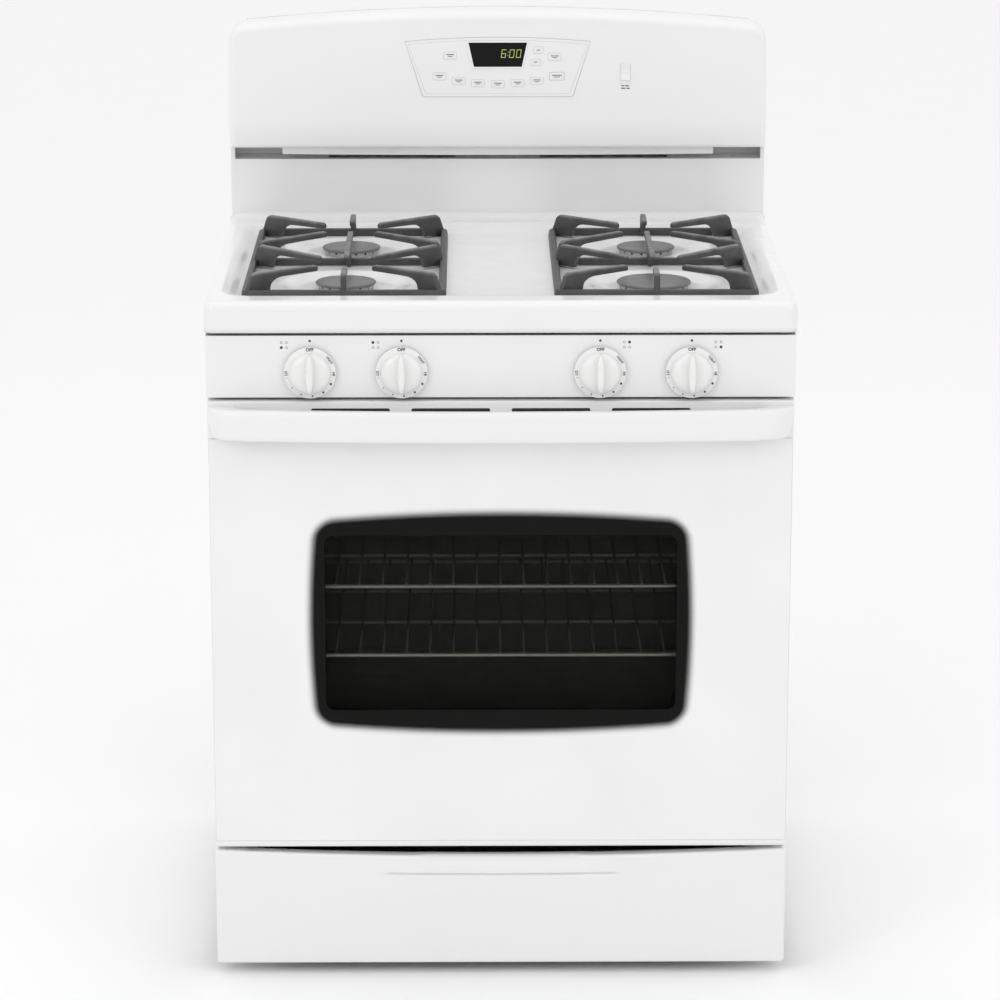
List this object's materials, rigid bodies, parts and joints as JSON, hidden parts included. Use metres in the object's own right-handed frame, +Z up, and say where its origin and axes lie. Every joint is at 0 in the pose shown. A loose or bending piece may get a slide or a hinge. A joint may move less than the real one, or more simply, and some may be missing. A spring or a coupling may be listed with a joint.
{
  "type": "freestanding gas range",
  "caption": "White freestanding gas range with sealed burners, lift-off grates, drop-down oven door with a window, storage drawer and a backguard with a clock console.",
  "frame": {"origin": "on the floor under the middle of the overall width and depth", "axes": "+Z up, the front faces -Y, +X to the right seen from the front"},
  "size_m": [0.759, 0.705, 1.21],
  "materials": {
    "white_enamel": "glossy baked enamel",
    "white_glass": "glass printed white around a clear window with a dotted edge",
    "cast_iron_grate": "matt black-grey porcelain on cast iron",
    "black_cap": "matt enamelled",
    "burner_metal": "cast, satin",
    "oven_enamel": "speckled dark porcelain",
    "chrome_wire": "bright plated wire",
    "galvanised": "galvanised sheet",
    "plated_steel": "zinc plated",
    "brass_valve": "machined",
    "white_plastic": "smooth moulded",
    "keypad_film": "fine matt printed film",
    "key_plastic": "fine matt",
    "display_glass": "smoked clear",
    "clear_glass": "clear",
    "lamp_glass": "clear, over a bulb",
    "gasket_braid": "woven glass fibre",
    "insulation_wool": "fibre blanket",
    "board_green": "printed circuit board",
    "ceramic_white": "fired, unglazed",
    "dark_plastic": "moulded"
  },
  "bodies": {
    "range": {"chassis_frame": "galvanised", "side_panels": "white_enamel", "rear_panel": "galvanised", "levelling_legs": "dark_plastic", "oven_liner": "oven_enamel", "oven_insulation": "insulation_wool", "oven_floor": "oven_enamel", "bake_burner": "plated_steel", "broil_burner": "plated_steel", "oven_lamp": "lamp_glass", "temperature_probe": "plated_steel", "cooktop": "white_enamel", "burner_heads": "burner_metal", "burner_caps": "black_cap", "spark_electrodes": "ceramic_white", "gas_manifold": "plated_steel", "burner_valves": "brass_valve", "burner_tubes": "burner_metal", "pressure_regulator": "burner_metal", "control_panel": "white_enamel", "backguard_riser": "white_enamel", "console_shell": "white_plastic", "console_rear_cover": "galvanised", "control_board": "board_green", "display_lens": "display_glass", "keypad_overlay": "keypad_film", "drawer_rails": "plated_steel"},
    "door": {"door_front_glass": "white_glass", "door_shell": "white_enamel", "door_inner_panel": "oven_enamel", "door_inner_glass": "clear_glass", "door_handle": "white_plastic", "door_gasket": "gasket_braid", "door_hinges": "plated_steel"},
    "drawer": {"drawer_front": "white_enamel", "drawer_box": "galvanised"},
    "left_grate": {"grate_left": "cast_iron_grate"},
    "right_grate": {"grate_right": "cast_iron_grate"},
    "upper_rack": {"oven_rack_upper": "chrome_wire"},
    "lower_rack": {"oven_rack_lower": "chrome_wire"},
    "stem_1": {"valve_stem_1": "plated_steel"},
    "dial_1": {"knob_1": "white_plastic"},
    "stem_2": {"valve_stem_2": "plated_steel"},
    "dial_2": {"knob_2": "white_plastic"},
    "stem_3": {"valve_stem_3": "plated_steel"},
    "dial_3": {"knob_3": "white_plastic"},
    "stem_4": {"valve_stem_4": "plated_steel"},
    "dial_4": {"knob_4": "white_plastic"},
    "bake_key": {"key_bake": "key_plastic"},
    "timer_key": {"key_timer": "key_plastic"},
    "up_key": {"key_up": "key_plastic"},
    "down_key": {"key_down": "key_plastic"},
    "broil_key": {"key_broil": "key_plastic"},
    "warm_key": {"key_warm": "key_plastic"},
    "clean_key": {"key_clean": "key_plastic"},
    "delay_key": {"key_delay": "key_plastic"},
    "clock_key": {"key_clock": "key_plastic"},
    "start_key": {"key_start": "key_plastic"},
    "cancel_key": {"key_cancel": "key_plastic"},
    "lamp_rocker": {"light_switch": "white_plastic"}
  },
  "joints": [
    {"name": "door_hinge", "type": "hinge", "parent": "range", "child": "door", "pos_m": [0, -0.2905, 0.2044], "axis": [1, 0, 0], "range_deg": [0, 88]},
    {"name": "drawer_slide", "type": "slide", "parent": "range", "child": "drawer", "axis": [0, -1, 0], "range_m": [0, 0.42]},
    {"name": "left_grate_lift", "type": "slide", "parent": "range", "child": "left_grate", "axis": [0, 0, 1], "range_m": [0, 0.1]},
    {"name": "right_grate_lift", "type": "slide", "parent": "range", "child": "right_grate", "axis": [0, 0, 1], "range_m": [0, 0.1]},
    {"name": "upper_rack_slide", "type": "slide", "parent": "range", "child": "upper_rack", "axis": [0, -1, 0], "range_m": [0, 0.012]},
    {"name": "lower_rack_slide", "type": "slide", "parent": "range", "child": "lower_rack", "axis": [0, -1, 0], "range_m": [0, 0.012]},
    {"name": "knob_1_push", "type": "slide", "parent": "range", "child": "stem_1", "axis": [0, 1, 0], "range_m": [0, 0.003], "stiffness_N_per_m": 800, "springref_m": -0.006},
    {"name": "knob_1_turn", "type": "hinge", "parent": "stem_1", "child": "dial_1", "pos_m": [-0.244, -0.3065, 0.8225], "axis": [0, -1, 0], "range_deg": [0, 270]},
    {"name": "knob_2_push", "type": "slide", "parent": "range", "child": "stem_2", "axis": [0, 1, 0], "range_m": [0, 0.003], "stiffness_N_per_m": 800, "springref_m": -0.006},
    {"name": "knob_2_turn", "type": "hinge", "parent": "stem_2", "child": "dial_2", "pos_m": [-0.127, -0.3065, 0.8225], "axis": [0, -1, 0], "range_deg": [0, 270]},
    {"name": "knob_3_push", "type": "slide", "parent": "range", "child": "stem_3", "axis": [0, 1, 0], "range_m": [0, 0.003], "stiffness_N_per_m": 800, "springref_m": -0.006},
    {"name": "knob_3_turn", "type": "hinge", "parent": "stem_3", "child": "dial_3", "pos_m": [0.127, -0.3065, 0.8225], "axis": [0, -1, 0], "range_deg": [0, 270]},
    {"name": "knob_4_push", "type": "slide", "parent": "range", "child": "stem_4", "axis": [0, 1, 0], "range_m": [0, 0.003], "stiffness_N_per_m": 800, "springref_m": -0.006},
    {"name": "knob_4_turn", "type": "hinge", "parent": "stem_4", "child": "dial_4", "pos_m": [0.244, -0.3065, 0.8225], "axis": [0, -1, 0], "range_deg": [0, 270]},
    {"name": "bake_press", "type": "slide", "parent": "range", "child": "bake_key", "axis": [0, 0.9851, -0.1719], "range_m": [0, 0.0007], "stiffness_N_per_m": 900, "springref_m": -0.001},
    {"name": "timer_press", "type": "slide", "parent": "range", "child": "timer_key", "axis": [0, 0.9851, -0.1719], "range_m": [0, 0.0007], "stiffness_N_per_m": 900, "springref_m": -0.001},
    {"name": "up_press", "type": "slide", "parent": "range", "child": "up_key", "axis": [0, 0.9851, -0.1719], "range_m": [0, 0.0007], "stiffness_N_per_m": 900, "springref_m": -0.001},
    {"name": "down_press", "type": "slide", "parent": "range", "child": "down_key", "axis": [0, 0.9851, -0.1719], "range_m": [0, 0.0007], "stiffness_N_per_m": 900, "springref_m": -0.001},
    {"name": "broil_press", "type": "slide", "parent": "range", "child": "broil_key", "axis": [0, 0.9851, -0.1719], "range_m": [0, 0.0007], "stiffness_N_per_m": 900, "springref_m": -0.001},
    {"name": "warm_press", "type": "slide", "parent": "range", "child": "warm_key", "axis": [0, 0.9851, -0.1719], "range_m": [0, 0.0007], "stiffness_N_per_m": 900, "springref_m": -0.001},
    {"name": "clean_press", "type": "slide", "parent": "range", "child": "clean_key", "axis": [0, 0.9851, -0.1719], "range_m": [0, 0.0007], "stiffness_N_per_m": 900, "springref_m": -0.001},
    {"name": "delay_press", "type": "slide", "parent": "range", "child": "delay_key", "axis": [0, 0.9851, -0.1719], "range_m": [0, 0.0007], "stiffness_N_per_m": 900, "springref_m": -0.001},
    {"name": "clock_press", "type": "slide", "parent": "range", "child": "clock_key", "axis": [0, 0.9851, -0.1719], "range_m": [0, 0.0007], "stiffness_N_per_m": 900, "springref_m": -0.001},
    {"name": "start_press", "type": "slide", "parent": "range", "child": "start_key", "axis": [0, 0.9851, -0.1719], "range_m": [0, 0.0007], "stiffness_N_per_m": 900, "springref_m": -0.001},
    {"name": "cancel_press", "type": "slide", "parent": "range", "child": "cancel_key", "axis": [0, 0.9851, -0.1719], "range_m": [0, 0.0007], "stiffness_N_per_m": 900, "springref_m": -0.001},
    {"name": "light_rock", "type": "hinge", "parent": "range", "child": "lamp_rocker", "pos_m": [0.1795, 0.26935, 1.12415], "axis": [1, 0, 0], "range_deg": [-5, 5]}
  ]
}
